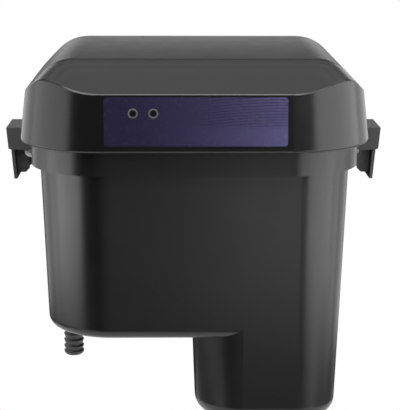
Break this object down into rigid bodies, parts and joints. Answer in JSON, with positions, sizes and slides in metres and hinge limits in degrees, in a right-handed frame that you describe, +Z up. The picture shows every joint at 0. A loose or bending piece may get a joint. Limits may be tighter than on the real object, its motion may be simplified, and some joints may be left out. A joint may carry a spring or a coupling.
{
  "type": "on-line water turbidity probe",
  "caption": "Wall-hung flow-through turbidity probe: hipped lift-off optical head, side latches, moulded body with bubble trap and deep measuring well, hose barbs below.",
  "frame": {"origin": "middle of the four wall screws, on the wall plate's back face", "axes": "+Y into the wall, so the front faces -Y; +X to the right seen from the front; +Z up"},
  "size_m": [0.292, 0.2627, 0.284],
  "materials": {
    "housing": "satin-gloss moulded charcoal",
    "housing_lid": "satin-gloss moulded charcoal",
    "latch": "satin moulded charcoal",
    "acetal": "pale grey acetal",
    "label_film": "printed indigo film",
    "window_ring": "grey ring",
    "window_lens": "smoked lens",
    "inner_plastic": "black moulded",
    "matt_black": "matt black",
    "rubber": "matt",
    "fitting": "moulded nylon",
    "stainless": "brushed",
    "stainless_tube": "polished",
    "screw_steel": "bright",
    "board": "solder mask",
    "anodised": "black anodised",
    "lamp_glass": "clear bulb",
    "optic_glass": "polished",
    "sensor": "silicon cell"
  },
  "bodies": {
    "body": {"body_shell": "housing", "trap_baffles": "inner_plastic", "trap_cover": "inner_plastic", "flow_column": "inner_plastic", "transfer_pipe": "inner_plastic", "light_trap": "matt_black", "drain_plug": "fitting", "plug_seal": "rubber", "inlet_barb": "fitting", "inlet_nut": "fitting", "inlet_seal": "rubber", "outlet_barb": "fitting", "outlet_nut": "fitting", "outlet_seal": "rubber", "wall_plate": "stainless", "hanger": "stainless", "hanger_screws": "screw_steel", "pivot_blocks_left": "acetal", "pivot_blocks_right": "acetal", "latch_pin_left": "screw_steel", "latch_pin_right": "screw_steel", "latch_spring_left": "screw_steel", "latch_spring_right": "screw_steel"},
    "lid": {"lid_shell": "housing_lid", "label_plate": "label_film", "led_bezels": "window_ring", "led_lenses": "window_lens", "lid_base": "inner_plastic", "lid_gasket": "rubber", "base_screws": "screw_steel", "circuit_board": "board", "board_screws": "screw_steel", "board_components": "matt_black", "lamp_housing": "anodised", "lamp": "lamp_glass", "light_tube": "anodised", "collimator_lens": "optic_glass", "lens_ring": "anodised", "detector_arm": "stainless_tube", "detector_head": "matt_black", "detector_window": "optic_glass", "detector_cell": "sensor", "cable_outlet": "housing_lid", "cable_grommet": "rubber"},
    "latch_left": {"latch_left": "latch"},
    "latch_right": {"latch_right": "latch"}
  },
  "joints": [
    {"name": "lid_lift", "type": "slide", "parent": "body", "child": "lid", "axis": [0, 0, 1], "range_m": [0, 0.2]},
    {"name": "latch_left_hinge", "type": "hinge", "parent": "body", "child": "latch_left", "pos_m": [-0.1277, -0.1395, 0.066], "axis": [0, -1, 0], "range_deg": [0, 22], "stiffness_Nm_per_rad": 0.2, "springref_deg": -8.59},
    {"name": "latch_right_hinge", "type": "hinge", "parent": "body", "child": "latch_right", "pos_m": [0.1277, -0.1395, 0.066], "axis": [0, 1, 0], "range_deg": [0, 22], "stiffness_Nm_per_rad": 0.2, "springref_deg": -8.59}
  ]
}
